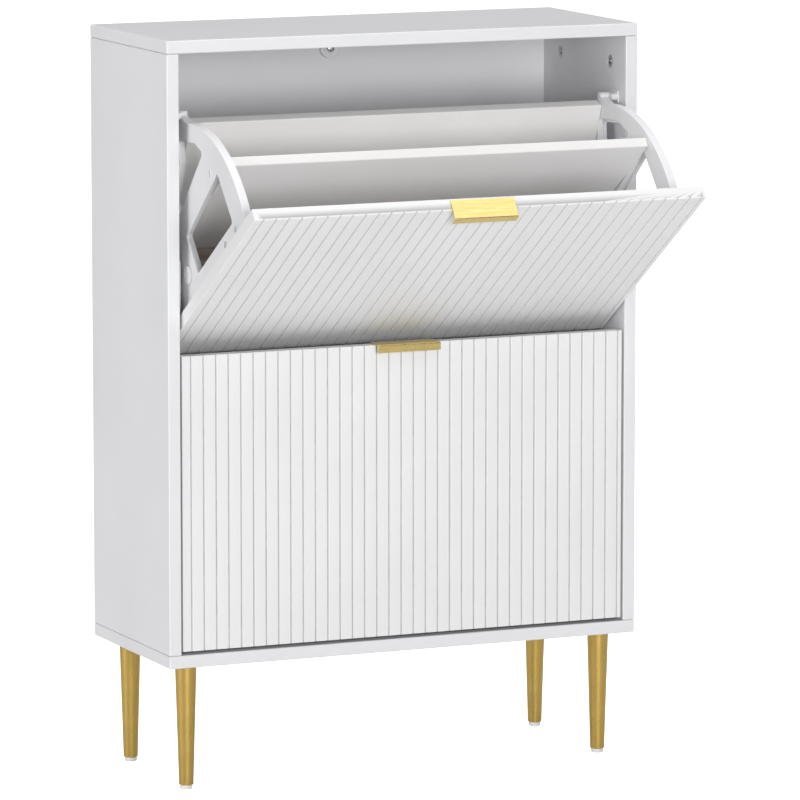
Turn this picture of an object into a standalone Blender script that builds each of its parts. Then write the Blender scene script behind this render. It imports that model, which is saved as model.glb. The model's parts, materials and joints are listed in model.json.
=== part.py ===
"""Flip-drawer shoe cabinet: a board carcass on four turned legs, with two fluted
doors that each tip forward on pins and carry a shoe tray between plastic brackets.

Metres, +Z up, front towards -Y. The origin is on the floor, under the middle of
the whole object as it stands: upper drawer open on its stops, lower one closed.
"""

import bpy
import bmesh
from math import asin, atan2, cos, hypot, pi, radians, sin, sqrt, tan
from mathutils import Matrix, Vector

# Overall sizes
WIDTH = 0.600
DEPTH = 0.2445
BODY_HEIGHT = 0.733
LEG_HEIGHT = 0.150

# Boards
BOARD = 0.015
BACK_PANEL = 0.003
BACK_PANEL_INSET = 0.012
BACK_GROOVE_DEPTH = 0.005
BACK_GROOVE_SLACK = 0.0003
EDGE_ROUND = 0.0008
PLASTIC_EDGE_ROUND = 0.0006
TOUCH_GAP = 0.0003

# Cam joints under the top panel
CAM_RADIUS = 0.0075
CAM_LENGTH = 0.0125
CAM_BELOW_TOP = 0.0335
CAM_FROM_FRONT = 0.044
CAM_FROM_REAR = 0.063
CAM_BOLT_RADIUS = 0.003
CAM_BOLT_IN_TOP = 0.010
CAM_SLOT_WIDTH = 0.0016
CAM_SLOT_DEPTH = 0.0030

# Screws that come up through the bottom panel into the sides
BODY_SCREW_RADIUS = 0.0025
BODY_SCREW_LENGTH = 0.050
BODY_SCREW_HEAD_RADIUS = 0.0045
BODY_SCREW_HEAD_DEPTH = 0.004
BODY_SCREW_FROM_EDGE = 0.055
HOLE_SLACK = 0.0003

# Wall fixing on the back panel
WALL_BOSS_RADIUS = 0.0125
WALL_BOSS_THICKNESS = 0.006
WALL_BOSS_BELOW_TOP = 0.0225
WALL_SCREW_HEAD_RADIUS = 0.0045
WALL_SCREW_RADIUS = 0.002
WALL_SCREW_HEAD_DEPTH = 0.0025
WALL_SCREW_LENGTH = 0.018

# Legs
LEG_TOP_RADIUS = 0.01275
LEG_BOTTOM_RADIUS = 0.0085
LEG_INSET = 0.033
LEG_STUD_RADIUS = 0.004
LEG_STUD_LENGTH = 0.011
FOOT_RADIUS = 0.00725
FOOT_HEIGHT = 0.005
FOOT_STEM_RADIUS = 0.003
FOOT_STEM_LENGTH = 0.008

# Doors
DOOR_THICKNESS = 0.015
DOOR_RECESS = 0.0018
DOOR_SIDE_GAP = 0.0025
LOWER_DOOR_BOTTOM_GAP = 0.004
UPPER_DOOR_TOP_GAP = 0.0035
FLUTE_PITCH = 0.01567
FLUTE_WIDTH = 0.0030
FLUTE_DEPTH = 0.0014
FIRST_FLUTE = 0.0112
LAST_FLUTE_MARGIN = 0.004

# Handles: a folded strip over the top edge of each door
HANDLE_WIDTH = 0.080
HANDLE_SHEET = 0.0015
HANDLE_FORWARD = 0.013
HANDLE_REAR_SETBACK = 0.0025
HANDLE_LIP = 0.010
HANDLE_STUD_RADIUS = 0.002
HANDLE_STUD_LENGTH = 0.008
HANDLE_STUD_SPACING = 0.050

# Hinges: each pair of pins stands behind its door's front face
OPEN_ANGLE = radians(56.0)
UPPER_PIVOT_SETBACK = 0.0446
UPPER_PIVOT_ABOVE_LOWER_DOOR = 0.0561
LOWER_PIVOT_SETBACK = 0.025
LOWER_PIVOT_ABOVE_DOOR_BOTTOM = 0.088
SWING_CLEARANCE = 0.001
PIN_RADIUS = 0.004
PIN_SLACK = 0.0003
PIN_END_CLEARANCE = 0.0008
MOUNT_THICKNESS = 0.008
MOUNT_FRONT_LIMIT = 0.0006
MOUNT_LENGTH = 0.046
MOUNT_ABOVE_PIN = 0.056
MOUNT_CORNER = 0.006

# Side brackets
BRACKET_THICKNESS = 0.010
BRACKET_SIDE_GAP = 0.011
BRACKET_BELOW_SEAT = 0.027
WINDOW_CORNER = 0.004
SLOT_WIDTH = 0.0026
SLOT_LENGTH = 0.007
CAP_RADIUS = 0.0105
CAP_THICKNESS = 0.0024

# Stops: a peg on the side panel, which the door meets closed and the horn open
PEG_RADIUS = 0.00425
PEG_PLATE = 0.002
PEG_PLATE_LENGTH = 0.026
PEG_PLATE_HEIGHT = 0.016
PEG_END_CLEARANCE = 0.0013
HORN_RADIUS = 0.0045
HORN_RISE = 0.010
LUG_RADIUS = 0.004
LUG_ROOT = 0.0052
LUG_END_CLEARANCE = 0.0007

# Trays
SEAT_ABOVE_PIVOT = 0.012
SEAT_THICKNESS = 0.009
DIVIDER_THICKNESS = 0.012
DIVIDER_ABOVE_SEAT = 0.019
REAR_BOARD_THICKNESS = 0.015

# Tray layout: across the space from door back to back panel, and down from the
# door's top edge as a share of the drop to the seat
ARC_FRONT = (0.0, -0.162)
ARC_CROWN = (0.494, -0.232)
ARC_REAR = (0.926, -0.573)
REAR_EDGE_BOTTOM = 0.493
FRONT_WINDOW = ((0.111, -0.283), (0.436, -0.315), (0.358, -0.760), (0.114, -0.735))
REAR_WINDOW = (
    (0.622, -0.408),
    (0.725, -0.466),
    (0.842, -0.612),
    (0.735, -0.655),
    (0.600, -0.800),
    (0.505, -0.775),
)
SLOTS = ((0.062, -0.268), (0.058, -0.400), (0.478, -0.383))
CAP_PLACE = (0.170, -0.829)
DIVIDER_FRONT = 0.423
DIVIDER_TOP = -0.242
REAR_BOARD_TOP = (0.955, -0.573)
REAR_BOARD_BOTTOM = 0.5015
REAR_BOARD_BELOW_SEAT = 0.0175

# Worked out from the sizes above
inner_half = WIDTH / 2 - BOARD
bay_bottom = LEG_HEIGHT + BOARD
bay_top = LEG_HEIGHT + BODY_HEIGHT - BOARD
lower_door_bottom = bay_bottom + LOWER_DOOR_BOTTOM_GAP
lower_door_top = (bay_bottom + bay_top) / 2
upper_door_top = bay_top - UPPER_DOOR_TOP_GAP
upper_pivot_height = lower_door_top + UPPER_PIVOT_ABOVE_LOWER_DOOR
lower_pivot_height = lower_door_bottom + LOWER_PIVOT_ABOVE_DOOR_BOTTOM
door_half = inner_half - DOOR_SIDE_GAP
bracket_outer = inner_half - BRACKET_SIDE_GAP
bracket_inner = bracket_outer - BRACKET_THICKNESS
tray_reach = DEPTH - DOOR_RECESS - DOOR_THICKNESS - BACK_PANEL_INSET - BACK_PANEL
seat_drop = upper_door_top - upper_pivot_height - SEAT_ABOVE_PIVOT


def turned(point, angle):
    """A point in the (y, z) plane turned about X: +Z goes towards -Y."""
    y, z = point
    return (y * cos(angle) - z * sin(angle), y * sin(angle) + z * cos(angle))


def upper_door_bottom():
    """The upper door's lower edge swings back past the lower door and its handle."""
    behind = UPPER_PIVOT_SETBACK - DOOR_THICKNESS
    to_door = hypot(behind, UPPER_PIVOT_ABOVE_LOWER_DOOR)
    handle_top = TOUCH_GAP + HANDLE_SHEET
    to_handle = hypot(behind + HANDLE_REAR_SETBACK, UPPER_PIVOT_ABOVE_LOWER_DOOR - handle_top)
    swing = min(to_door, to_handle) - SWING_CLEARANCE
    return upper_pivot_height - sqrt(swing**2 - UPPER_PIVOT_SETBACK**2)


def front_reach():
    """How far the open upper handle stands in front of its pivot."""
    out = -UPPER_PIVOT_SETBACK - HANDLE_FORWARD
    top = upper_door_top - upper_pivot_height + TOUCH_GAP + HANDLE_SHEET
    corners = [turned((out, top - drop), OPEN_ANGLE) for drop in (0, HANDLE_LIP)]
    return -min(y for y, _ in corners)


# The whole object's box is centred on the origin, so the carcass stands behind it
pivot_behind_front = DOOR_RECESS + UPPER_PIVOT_SETBACK
front_y = (front_reach() - pivot_behind_front - DEPTH) / 2
rear_y = front_y + DEPTH
door_front_y = front_y + DOOR_RECESS
back_panel_front_y = rear_y - BACK_PANEL_INSET - BACK_PANEL


def clear_scene():
    for old in list(bpy.data.objects):
        bpy.data.objects.remove(old, do_unlink=True)


def make_collection(name):
    collection = bpy.data.collections.new(name)
    bpy.context.scene.collection.children.link(collection)
    return collection


def make_material(name, color, roughness, metallic=0.0):
    material = bpy.data.materials.new(name)
    material.use_nodes = True
    shader = material.node_tree.nodes["Principled BSDF"]
    shader.inputs["Base Color"].default_value = (*color, 1.0)
    shader.inputs["Roughness"].default_value = roughness
    shader.inputs["Metallic"].default_value = metallic
    material.diffuse_color = (*color, 1.0)
    return material


clear_scene()
cabinet = make_collection("shoe_cabinet")
cutters = make_collection("cutters")

looks = {
    "carcass": ((0.80, 0.80, 0.81), 0.40),
    "fluted_door": ((0.84, 0.84, 0.84), 0.42),
    "tray_board": ((0.76, 0.75, 0.74), 0.45),
    "seat_board": ((0.22, 0.17, 0.14), 0.60),
    "back_panel": ((0.72, 0.72, 0.72), 0.55),
    "bracket": ((0.78, 0.78, 0.79), 0.35),
    "gold": ((0.72, 0.50, 0.16), 0.28, 1.0),
    "foot": ((0.82, 0.82, 0.80), 0.45),
    "zinc": ((0.62, 0.62, 0.63), 0.35, 1.0),
    "plastic": ((0.82, 0.82, 0.82), 0.35),
}


def place(name, mesh, location, look, parent=None):
    """Puts a mesh in the cabinet under its own material, or among the cutters."""
    thing = bpy.data.objects.new(name, mesh)
    thing.location = location
    if look is None:
        cutters.objects.link(thing)
        thing.hide_render = True
        thing.display_type = "WIRE"
    else:
        cabinet.objects.link(thing)
        mesh.materials.append(make_material(name, *looks[look]))
    thing.parent = parent
    return thing


def mesh_from(bm, name):
    bmesh.ops.recalc_face_normals(bm, faces=bm.faces)
    mesh = bpy.data.meshes.new(name)
    bm.to_mesh(mesh)
    bm.free()
    return mesh


def box(name, low, high, look, parent=None, edge=0.0):
    """A board between two corners, given in its parent's frame."""
    low, high = Vector(low), Vector(high)
    bm = bmesh.new()
    bmesh.ops.create_cube(bm, size=1.0, matrix=Matrix.Diagonal((*(high - low), 1.0)))
    thing = place(name, mesh_from(bm, name), (low + high) / 2, look, parent)
    if edge:
        round_edges(thing, edge)
    return thing


def rod(name, radius, start, end, look, parent=None, segments=24):
    """A solid cylinder from one point to another."""
    start, end = Vector(start), Vector(end)
    turn = Vector((0, 0, 1)).rotation_difference(end - start).to_matrix().to_4x4()
    bm = bmesh.new()
    bmesh.ops.create_cone(
        bm,
        cap_ends=True,
        segments=segments,
        radius1=radius,
        radius2=radius,
        depth=(end - start).length,
        matrix=turn,
    )
    thing = place(name, mesh_from(bm, name), (start + end) / 2, look, parent)
    thing.data.shade_smooth()
    thing.data.set_sharp_from_angle(angle=radians(40))
    return thing


def flat_solid(name, outline, low, high, upright, look, parent=None):
    """A closed outline made solid between two heights.

    Upright outlines are (y, z) points and run along X. The others are (x, y)
    points and run along Z. Each end is closed with one flat face, because a filled
    curve puts slivers between points that lie in line.
    """
    curve = bpy.data.curves.new(name, "CURVE")
    curve.dimensions = "2D"
    curve.fill_mode = "NONE"
    curve.extrude = (high - low) / 2
    spline = curve.splines.new("POLY")
    spline.points.add(len(outline) - 1)
    for point, (u, v) in zip(spline.points, outline):
        point.co = (u, v, 0.0, 1.0)
    spline.use_cyclic_u = True
    drawn = bpy.data.objects.new(name + "_outline", curve)
    cutters.objects.link(drawn)
    bpy.context.view_layer.update()
    evaluated = drawn.evaluated_get(bpy.context.evaluated_depsgraph_get())
    raw = bpy.data.meshes.new_from_object(evaluated)
    bpy.data.objects.remove(drawn, do_unlink=True)
    bm = bmesh.new()
    bm.from_mesh(raw)
    bpy.data.meshes.remove(raw)
    bmesh.ops.remove_doubles(bm, verts=bm.verts, dist=1e-6)
    bmesh.ops.holes_fill(bm, edges=bm.edges, sides=0)
    middle = (low + high) / 2
    if upright:
        axes = Matrix(((0, 0, 1), (1, 0, 0), (0, 1, 0))).to_4x4()
        bmesh.ops.transform(bm, matrix=axes, verts=bm.verts)
        location = (middle, 0.0, 0.0)
    else:
        location = (0.0, 0.0, middle)
    return place(name, mesh_from(bm, name), location, look, parent)


def lathe(name, profile, location, look, segments=24):
    """A turned piece. The profile runs down its outer side, top to bottom."""
    mesh = bpy.data.meshes.new(name)
    edges = [(i, i + 1) for i in range(len(profile) - 1)]
    mesh.from_pydata([(r, 0.0, z) for r, z in profile], edges, [])
    thing = place(name, mesh, location, look)
    screw = thing.modifiers.new("turn", "SCREW")
    screw.axis = "Z"
    screw.angle = 2 * pi
    screw.steps = segments
    screw.render_steps = segments
    screw.use_merge_vertices = True
    screw.merge_threshold = 0.00001
    screw.use_smooth_shade = True
    return thing


def round_edges(thing, width, segments=1):
    bevel = thing.modifiers.new("edges", "BEVEL")
    bevel.width = width
    bevel.segments = segments
    bevel.limit_method = "ANGLE"
    bevel.angle_limit = radians(30)


def combine(thing, tool, operation="DIFFERENCE"):
    step = thing.modifiers.new(tool.name, "BOOLEAN")
    step.operation = operation
    step.object = tool
    step.solver = "EXACT"


def arc_points(centre, radius, start, end, count):
    """Points on an arc in the outline's plane, angles from its first axis."""
    turn = (end - start) / count
    angles = [start + turn * i for i in range(count + 1)]
    return [(centre[0] + radius * cos(a), centre[1] + radius * sin(a)) for a in angles]


def rounded(corners, radius, steps=2):
    """A closed outline with each corner rounded, turning either way."""
    points = []
    count = len(corners)
    for i, corner in enumerate(corners):
        here = Vector(corner)
        to_last = (Vector(corners[i - 1]) - here).normalized()
        to_next = (Vector(corners[(i + 1) % count]) - here).normalized()
        half = to_last.angle(to_next) / 2
        first = here + to_last * radius / tan(half)
        last = here + to_next * radius / tan(half)
        centre = here + (to_last + to_next).normalized() * radius / sin(half)
        start = first - centre
        sweep = start.angle_signed(last - centre)
        for step in range(steps + 1):
            angle = atan2(start.y, start.x) - sweep * step / steps
            points.append((centre.x + radius * cos(angle), centre.y + radius * sin(angle)))
    return points


def circle_through(a, b, c):
    """Centre and radius of the circle through three points."""
    (ax, ay), (bx, by), (cx, cy) = a, b, c
    d = 2 * (ax * (by - cy) + bx * (cy - ay) + cx * (ay - by))
    aa = ax**2 + ay**2
    bb = bx**2 + by**2
    cc = cx**2 + cy**2
    x = (aa * (by - cy) + bb * (cy - ay) + cc * (ay - by)) / d
    y = (aa * (cx - bx) + bb * (ax - cx) + cc * (bx - ax)) / d
    return (x, y), hypot(ax - x, ay - y)


# Carcass


def cam_heights_and_depths():
    height = bay_top - CAM_BELOW_TOP
    return ((front_y + CAM_FROM_FRONT, height), (rear_y - CAM_FROM_REAR, height))


def make_carcass():
    half = WIDTH / 2
    top = LEG_HEIGHT + BODY_HEIGHT
    bottom_low = (-half, front_y, LEG_HEIGHT)
    bottom_panel = box("bottom_panel", bottom_low, (half, rear_y, bay_bottom), "carcass", edge=EDGE_ROUND)
    top_panel = box("top_panel", (-half, front_y, bay_top), (half, rear_y, top), "carcass", edge=EDGE_ROUND)
    sides = {}
    for name, sign in (("left", -1), ("right", 1)):
        ends = sorted((sign * inner_half, sign * half))
        sides[name] = box(
            "side_panel_" + name,
            (ends[0], front_y, bay_bottom + TOUCH_GAP),
            (ends[1], rear_y, bay_top - TOUCH_GAP),
            "carcass",
            edge=EDGE_ROUND,
        )
    return bottom_panel, top_panel, sides


def make_back_panel(boards):
    reach = inner_half + BACK_GROOVE_DEPTH
    low = (-reach, back_panel_front_y, bay_bottom - BACK_GROOVE_DEPTH)
    high = (reach, back_panel_front_y + BACK_PANEL, bay_top + BACK_GROOVE_DEPTH)
    panel = box("back_panel", low, high, "back_panel")
    slack = Vector((BACK_GROOVE_SLACK,) * 3)
    groove = box("back_groove", Vector(low) - slack, Vector(high) + slack, None)
    for board in boards:
        combine(board, groove)
    return panel


def make_cam_joints(top_panel, sides):
    for side, sign in (("left", -1), ("right", 1)):
        for place_name, (y, z) in zip(("front", "rear"), cam_heights_and_depths()):
            name = f"{side}_{place_name}"
            face = sign * (inner_half + TOUCH_GAP)
            deep = sign * (inner_half + CAM_LENGTH)
            cam = rod("cam_lock_" + name, CAM_RADIUS, (face, y, z), (deep, y, z), "zinc")
            for turn, label in ((0, "across"), (pi / 2, "down")):
                reach = CAM_RADIUS * 0.62
                wide = reach if turn == 0 else CAM_SLOT_WIDTH / 2
                tall = CAM_SLOT_WIDTH / 2 if turn == 0 else reach
                ends = sorted((face - sign * 0.001, face + sign * CAM_SLOT_DEPTH))
                low = (ends[0], y - wide, z - tall)
                high = (ends[1], y + wide, z + tall)
                slot = box(f"cam_slot_{name}_{label}", low, high, None)
                combine(cam, slot)
            mouth = sign * (inner_half - 0.001)
            well_end = sign * (inner_half + CAM_LENGTH + HOLE_SLACK)
            well = rod("cam_well_" + name, CAM_RADIUS + HOLE_SLACK, (mouth, y, z), (well_end, y, z), None)
            combine(sides[side], well)
            bolt_x = sign * (inner_half + BOARD / 2)
            bolt_low = z + CAM_RADIUS + TOUCH_GAP
            bolt_high = bay_top + CAM_BOLT_IN_TOP
            bolt_ends = ((bolt_x, y, bolt_low), (bolt_x, y, bolt_high))
            rod("cam_bolt_" + name, CAM_BOLT_RADIUS, *bolt_ends, "zinc", segments=12)
            bore = rod(
                "cam_bore_" + name,
                CAM_BOLT_RADIUS + HOLE_SLACK,
                (bolt_x, y, z),
                (bolt_x, y, bolt_high + HOLE_SLACK),
                None,
                segments=12,
            )
            combine(sides[side], bore)
            combine(top_panel, bore)


def make_body_screws(bottom_panel, sides):
    head = BODY_SCREW_HEAD_RADIUS
    sink = BODY_SCREW_HEAD_DEPTH
    for side, sign in (("left", -1), ("right", 1)):
        x = sign * (WIDTH / 2 - BOARD / 2)
        front = front_y + BODY_SCREW_FROM_EDGE
        rear = rear_y - BODY_SCREW_FROM_EDGE
        for end, y in (("front", front), ("rear", rear)):
            name = f"{side}_{end}"
            shank = BODY_SCREW_RADIUS
            top = BODY_SCREW_LENGTH
            profile = [(0, top), (shank * 0.5, top), (shank, top - 0.003)]
            profile += [(shank, sink), (head, TOUCH_GAP), (0, TOUCH_GAP)]
            lathe("body_screw_" + name, profile, (x, y, LEG_HEIGHT), "zinc", segments=10)
            slack = HOLE_SLACK
            hole = [
                (0, top + slack),
                (shank + slack, top + slack),
                (shank + slack, sink + slack),
                (head + 2 * slack, -0.0002),
                (head + 2 * slack, -0.001),
                (0, -0.001),
            ]
            cutter = lathe("body_screw_hole_" + name, hole, (x, y, LEG_HEIGHT), None, segments=10)
            combine(bottom_panel, cutter)
            combine(sides[side], cutter)


def make_wall_fixing(back_panel):
    z = bay_top - WALL_BOSS_BELOW_TOP
    face = back_panel_front_y - TOUCH_GAP
    front = face - WALL_BOSS_THICKNESS
    boss = rod("wall_boss", WALL_BOSS_RADIUS, (0, face, z), (0, front, z), "plastic", segments=28)
    round_edges(boss, PLASTIC_EDGE_ROUND * 2)
    length = WALL_SCREW_LENGTH
    head = WALL_SCREW_HEAD_RADIUS
    sink = WALL_SCREW_HEAD_DEPTH
    shank = WALL_SCREW_RADIUS
    profile = [(0, sink), (head * 0.6, sink), (head, sink * 0.4), (head, 0)]
    profile += [(shank, 0), (shank, -length), (0, -length)]
    screw = lathe("wall_screw", profile, (0, front - TOUCH_GAP, z), "zinc", segments=20)
    screw.rotation_euler = (pi / 2, 0, 0)
    hole = rod(
        "wall_screw_hole",
        shank + HOLE_SLACK,
        (0, front - 0.001, z),
        (0, back_panel_front_y + length, z),
        None,
        segments=20,
    )
    combine(boss, hole)
    combine(back_panel, hole)


def make_legs(bottom_panel):
    leg_top = LEG_HEIGHT - TOUCH_GAP
    leg_bottom = FOOT_HEIGHT + TOUCH_GAP
    stud = LEG_STUD_RADIUS
    bore = FOOT_STEM_RADIUS + HOLE_SLACK
    bore_top = leg_bottom + FOOT_STEM_LENGTH + HOLE_SLACK
    leg_profile = [
        (0, leg_top + LEG_STUD_LENGTH),
        (stud * 0.8, leg_top + LEG_STUD_LENGTH),
        (stud, leg_top + LEG_STUD_LENGTH - 0.001),
        (stud, leg_top),
        (LEG_TOP_RADIUS - 0.0008, leg_top),
        (LEG_TOP_RADIUS, leg_top - 0.0008),
        (LEG_BOTTOM_RADIUS, leg_bottom + 0.0006),
        (LEG_BOTTOM_RADIUS - 0.0006, leg_bottom),
        (bore, leg_bottom),
        (bore, bore_top),
        (0, bore_top),
    ]
    stem_top = leg_bottom + FOOT_STEM_LENGTH
    foot_profile = [
        (0, stem_top),
        (FOOT_STEM_RADIUS, stem_top),
        (FOOT_STEM_RADIUS, FOOT_HEIGHT),
        (FOOT_RADIUS, FOOT_HEIGHT),
        (FOOT_RADIUS, 0.0012),
        (FOOT_RADIUS - 0.0004, 0.0004),
        (FOOT_RADIUS - 0.0012, 0),
        (0, 0),
    ]
    for side, sign in (("left", -1), ("right", 1)):
        x = sign * (WIDTH / 2 - LEG_INSET)
        for end, y in (("front", front_y + LEG_INSET), ("rear", rear_y - LEG_INSET)):
            name = f"{end}_{side}"
            lathe("leg_" + name, leg_profile, (x, y, 0), "gold")
            lathe("leg_foot_" + name, foot_profile, (x, y, 0), "foot", segments=16)
            hole = rod(
                "leg_hole_" + name,
                stud + HOLE_SLACK,
                (x, y, LEG_HEIGHT - 0.001),
                (x, y, leg_top + LEG_STUD_LENGTH + HOLE_SLACK),
                None,
                segments=12,
            )
            combine(bottom_panel, hole)


# Drawers. Each is laid out closed, in (y, z) from its own pivot, and its parent
# empty then turns it.


class Drawer:
    def __init__(self, name, bottom, top, pivot_setback, pivot_height, angle):
        self.name = name
        self.setback = pivot_setback
        self.bottom = bottom - pivot_height
        self.top = top - pivot_height
        self.pivot_y = door_front_y + pivot_setback
        self.pivot_z = pivot_height
        self.door_back = DOOR_THICKNESS - pivot_setback
        self.seat = self.top - seat_drop
        self.empty = bpy.data.objects.new(name + "_drawer_pivot", None)
        cabinet.objects.link(self.empty)
        self.empty.location = (0, self.pivot_y, pivot_height)
        self.empty.rotation_euler = (angle, 0, 0)
        crown = [self.at(*share) for share in (ARC_FRONT, ARC_CROWN, ARC_REAR)]
        self.arc_centre, self.arc_radius = circle_through(*crown)
        self.peg_radius, self.peg_angle, self.horn_angle = self.stop_layout()

    def at(self, across, down):
        """A layout point in the drawer's own (y, z) frame."""
        return (self.door_back + across * tray_reach, self.top + down * seat_drop)

    def arc_distance(self, angle):
        """Distance from the pivot to the bracket's arc, at an angle back from +Z."""
        cy, cz = self.arc_centre
        along = cy * sin(angle) + cz * cos(angle)
        return along + sqrt(along**2 + self.arc_radius**2 - cy**2 - cz**2)

    def stop_layout(self):
        """The peg stands just behind the closed door; the horn meets it when open."""
        peg_y = self.door_back + TOUCH_GAP + PEG_RADIUS
        radius = self.arc_radius
        for _ in range(8):
            peg_angle = asin(peg_y / radius)
            between = (PEG_RADIUS + LUG_RADIUS + TOUCH_GAP) / radius
            horn_angle = peg_angle + between + OPEN_ANGLE
            radius = self.arc_distance(horn_angle) + HORN_RISE
        return radius, peg_angle, horn_angle

    def polar(self, radius, angle):
        return (radius * sin(angle), radius * cos(angle))


def door_outline(half, front, back):
    """The door in plan: flat back, with V flutes along its front."""
    flute_count = int((2 * half - FIRST_FLUTE - LAST_FLUTE_MARGIN) / FLUTE_PITCH) + 1
    points = [(half, back), (-half, back), (-half, front)]
    for index in range(flute_count):
        x = -half + FIRST_FLUTE + index * FLUTE_PITCH
        points += [(x - FLUTE_WIDTH / 2, front), (x, front + FLUTE_DEPTH), (x + FLUTE_WIDTH / 2, front)]
    points.append((half, front))
    return points


def make_door(drawer):
    outline = door_outline(door_half, -drawer.setback, drawer.door_back)
    door = flat_solid(
        drawer.name + "_door", outline, drawer.bottom, drawer.top, False, "fluted_door", drawer.empty
    )
    rear = drawer.door_back - HANDLE_REAR_SETBACK
    front = -drawer.setback - HANDLE_FORWARD
    low = drawer.top + TOUCH_GAP
    high = low + HANDLE_SHEET
    lip = high - HANDLE_LIP
    bend = HANDLE_SHEET
    strip = [(rear, low), (rear, high)]
    strip += arc_points((front + bend, high - bend), bend, pi / 2, pi, 3)
    strip += [(front, lip), (front + HANDLE_SHEET, lip), (front + HANDLE_SHEET, low)]
    half = HANDLE_WIDTH / 2
    handle = flat_solid(drawer.name + "_handle", strip, -half, half, True, "gold", drawer.empty)
    stud_y = (rear - drawer.setback) / 2
    for side, sign in (("left", -1), ("right", 1)):
        x = sign * HANDLE_STUD_SPACING / 2
        tip = drawer.top - HANDLE_STUD_LENGTH
        middle = low + HANDLE_SHEET / 2
        stud = rod(
            f"{drawer.name}_handle_stud_{side}",
            HANDLE_STUD_RADIUS,
            (x, stud_y, tip),
            (x, stud_y, middle),
            None,
            drawer.empty,
            12,
        )
        combine(handle, stud, "UNION")
        hole = rod(
            f"{drawer.name}_handle_hole_{side}",
            HANDLE_STUD_RADIUS + HOLE_SLACK,
            (x, stud_y, tip - HOLE_SLACK),
            (x, stud_y, drawer.top + 0.001),
            None,
            drawer.empty,
            12,
        )
        combine(door, hole)


def bracket_outline(drawer):
    """Clockwise from the heel at the door: up its back, over the arc, down the rear."""
    cy, cz = drawer.arc_centre
    front = drawer.door_back + TOUCH_GAP
    low = drawer.seat - BRACKET_BELOW_SEAT
    rear_top = drawer.at(*ARC_REAR)
    start = atan2(sqrt(drawer.arc_radius**2 - (front - cy) ** 2), front - cy)
    horn = drawer.polar(drawer.peg_radius, drawer.horn_angle)
    horn_foot = drawer.arc_distance(drawer.horn_angle - 0.10)
    foot_y, foot_z = drawer.polar(horn_foot, drawer.horn_angle - 0.10)
    end = atan2(foot_z - cz, foot_y - cy)
    points = [(front, low)]
    points += arc_points(drawer.arc_centre, drawer.arc_radius, start, end, 14)
    tip = pi / 2 - drawer.horn_angle
    points += arc_points(horn, HORN_RADIUS, tip + 1.75, tip - 1.45, 6)
    points.append((rear_top[0], rear_top[1] - 0.004))
    rear_bottom = drawer.at(REAR_EDGE_BOTTOM, 0)[0]
    points += arc_points((rear_bottom - 0.010, low + 0.008), 0.008, radians(-20), radians(-90), 4)
    return points


def make_bracket(drawer, side, sign):
    name = f"{drawer.name}_bracket_{side}"
    ends = sorted((sign * bracket_inner, sign * bracket_outer))
    plate = flat_solid(name, bracket_outline(drawer), ends[0], ends[1], True, "bracket", drawer.empty)
    lug_y, lug_z = drawer.polar(drawer.peg_radius, drawer.horn_angle)
    lug_end = sign * (inner_half - PEG_PLATE - LUG_END_CLEARANCE)
    lug = rod(
        name + "_lug",
        LUG_RADIUS,
        (sign * (bracket_outer - LUG_ROOT), lug_y, lug_z),
        (lug_end, lug_y, lug_z),
        None,
        drawer.empty,
        16,
    )
    combine(plate, lug, "UNION")
    wide = (ends[0] - 0.002, ends[1] + 0.002)
    for label, shares in (("front", FRONT_WINDOW), ("rear", REAR_WINDOW)):
        corners = rounded([drawer.at(*share) for share in shares], WINDOW_CORNER)
        window = flat_solid(f"{name}_{label}_window", corners, *wide, True, None, drawer.empty)
        combine(plate, window)
    round_edges(plate, PLASTIC_EDGE_ROUND)
    for index, share in enumerate(SLOTS):
        y, z = drawer.at(*share)
        low = (wide[0], y - SLOT_WIDTH / 2, z - SLOT_LENGTH / 2)
        high = (wide[1], y + SLOT_WIDTH / 2, z + SLOT_LENGTH / 2)
        slot = box(f"{name}_slot_{index}", low, high, None, drawer.empty)
        slot.rotation_euler = (-OPEN_ANGLE, 0, 0)
        combine(plate, slot)
    bore = rod(
        name + "_bore",
        PIN_RADIUS + PIN_SLACK,
        (wide[0], 0, 0),
        (wide[1], 0, 0),
        None,
        drawer.empty,
        16,
    )
    combine(plate, bore)
    cap_y, cap_z = drawer.at(*CAP_PLACE)
    cap = rod(
        f"{drawer.name}_bracket_cap_{side}",
        CAP_RADIUS,
        (sign * (bracket_outer + TOUCH_GAP), cap_y, cap_z),
        (sign * (bracket_outer + CAP_THICKNESS), cap_y, cap_z),
        "plastic",
        drawer.empty,
        20,
    )
    round_edges(cap, PLASTIC_EDGE_ROUND)


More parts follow.
